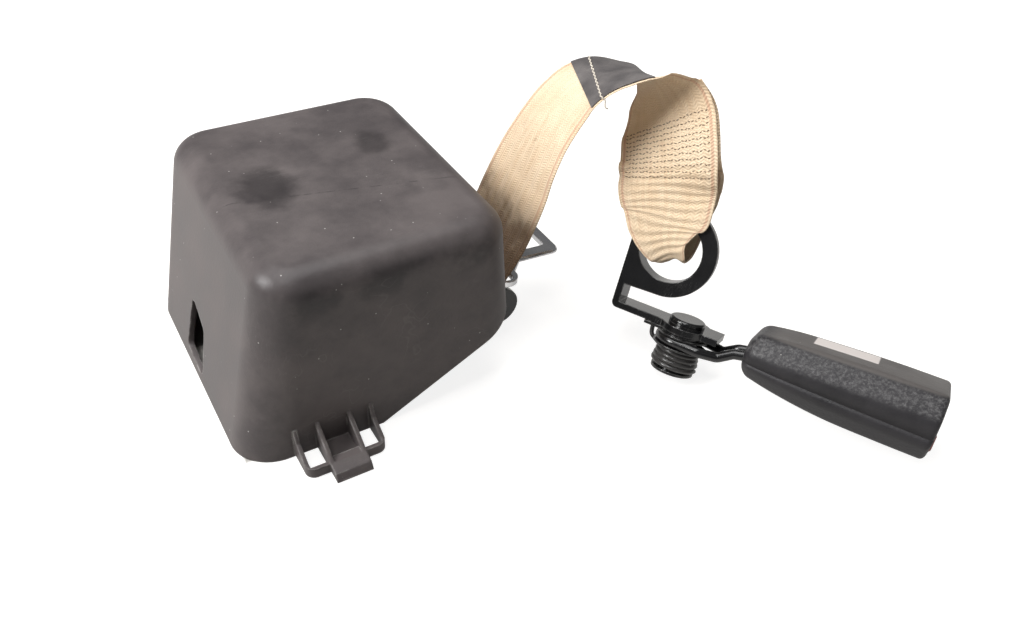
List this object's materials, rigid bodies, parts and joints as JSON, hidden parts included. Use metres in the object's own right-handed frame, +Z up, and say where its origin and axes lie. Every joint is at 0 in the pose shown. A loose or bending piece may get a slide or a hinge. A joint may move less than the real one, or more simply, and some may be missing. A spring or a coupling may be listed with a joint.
{
  "type": "seat belt",
  "caption": "Lap belt assembly: inertia retractor in a moulded cover, webbing with a sliding latch plate, an anchor bracket with a bolt bush, and a buckle on a sprung wire stalk.",
  "frame": {"origin": "centre of the retractor's foot hole, on the floor", "axes": "+Z up, +X from the retractor towards the webbing, +Y away from the snap clip"},
  "size_m": [0.2621, 0.2605, 0.1238],
  "materials": {
    "cover_plastic": "moulded, matte, scuffed",
    "zinc_steel": "zinc plated",
    "bright_steel": "polished plate",
    "black_steel": "gloss black",
    "spring_steel": "black, oiled",
    "webbing_cloth": "woven tan polyester",
    "label_cloth": "dark grey woven label",
    "boot_plastic": "pebbled black",
    "button_plastic": "satin red",
    "bearing_plastic": "natural acetal",
    "case_plastic": "satin black"
  },
  "bodies": {
    "retractor": {"retractor_cover": "cover_plastic", "retractor_frame": "zinc_steel", "tie_bars": "zinc_steel", "near_bearing": "bearing_plastic", "far_bearing": "bearing_plastic", "lock_cover": "case_plastic", "pawl_pin": "zinc_steel", "sensor_seat": "bearing_plastic", "lever_pin": "zinc_steel", "spring_case": "case_plastic", "spring_cap": "case_plastic", "clock_spring": "spring_steel", "case_screws": "zinc_steel", "mouth_guide": "case_plastic", "webbing": "webbing_cloth", "webbing_label": "label_cloth", "webbing_tail": "webbing_cloth", "webbing_end_loop": "webbing_cloth"},
    "spool": {"spool_core": "bearing_plastic", "webbing_roll": "webbing_cloth", "spool_axle": "zinc_steel", "lock_wheel": "zinc_steel", "sensor_disc": "bearing_plastic", "spring_arbor": "bearing_plastic"},
    "pawl": {"lock_pawl": "zinc_steel"},
    "lever": {"sensor_lever": "bearing_plastic"},
    "ball": {"sensor_ball": "bright_steel"},
    "tongue": {"tongue": "bright_steel"},
    "anchor": {"anchor_bracket": "black_steel", "anchor_bush": "black_steel", "index_plate": "black_steel", "torsion_spring": "spring_steel", "shank_collar": "black_steel"},
    "buckle": {"buckle_stalk": "black_steel", "upper_washer": "black_steel", "lower_washer": "black_steel", "stalk_block": "zinc_steel", "buckle_frame": "zinc_steel", "latch_pin": "zinc_steel", "ejector_spring": "spring_steel", "button_spring": "spring_steel", "mouth_bezel": "boot_plastic", "boot_upper": "boot_plastic", "boot_lower": "boot_plastic"},
    "button": {"release_button": "button_plastic"},
    "latch": {"latch": "zinc_steel"},
    "ejector": {"ejector": "bearing_plastic"}
  },
  "joints": [
    {"name": "spool_spin", "type": "hinge", "parent": "retractor", "child": "spool", "pos_m": [0.038, 0, 0.046], "axis": [0, 1, 0], "range_deg": [-540, 4320], "stiffness_Nm_per_rad": 0.003, "deforming": ["clock_spring"]},
    {"name": "pawl_turn", "type": "hinge", "parent": "retractor", "child": "pawl", "pos_m": [0.0575, 0.03, 0.023], "axis": [0, -1, 0], "range_deg": [0, 10], "stiffness_Nm_per_rad": 0.02},
    {"name": "lever_lift", "type": "hinge", "parent": "retractor", "child": "lever", "pos_m": [0.0215, 0.035, 0.0175], "axis": [0, -1, 0], "range_deg": [0, 3]},
    {"name": "ball_roll", "type": "hinge", "parent": "retractor", "child": "ball", "pos_m": [0.031, 0.0355, 0.016], "axis": [1, 0, 0], "range_deg": [-10, 10]},
    {"name": "tongue_slide", "type": "slide", "parent": "retractor", "child": "tongue", "axis": [0.3563, -0.1018, 0.9288], "range_m": [0, 0.03]},
    {"name": "anchor_swing", "type": "hinge", "parent": "retractor", "child": "anchor", "pos_m": [0.17538, -0.0597, 0.06483], "axis": [0.4787, -0.878, 0], "range_deg": [-8, 8]},
    {"name": "buckle_swivel", "type": "hinge", "parent": "anchor", "child": "buckle", "pos_m": [0.169, -0.0814, 0.024], "axis": [0.3571, 0.1947, 0.9135], "range_deg": [-60, 60], "stiffness_Nm_per_rad": 0.4, "deforming": ["torsion_spring"]},
    {"name": "button_press", "type": "slide", "parent": "buckle", "child": "button", "axis": [-0.4787, 0.878, 0], "range_m": [0, 0.006], "stiffness_N_per_m": 900, "deforming": ["button_spring"]},
    {"name": "latch_lift", "type": "hinge", "parent": "buckle", "child": "latch", "pos_m": [0.19688, -0.12998, 0.02674], "axis": [-0.8021, -0.4373, 0.4067], "range_deg": [0, 8]},
    {"name": "ejector_slide", "type": "slide", "parent": "buckle", "child": "ejector", "axis": [-0.4787, 0.878, 0], "range_m": [0, 0.01], "stiffness_N_per_m": 400, "deforming": ["ejector_spring"]}
  ],
  "couplings": [
    {"joint": "latch_lift", "follows": "button_press", "rad_per_m": 23}
  ]
}
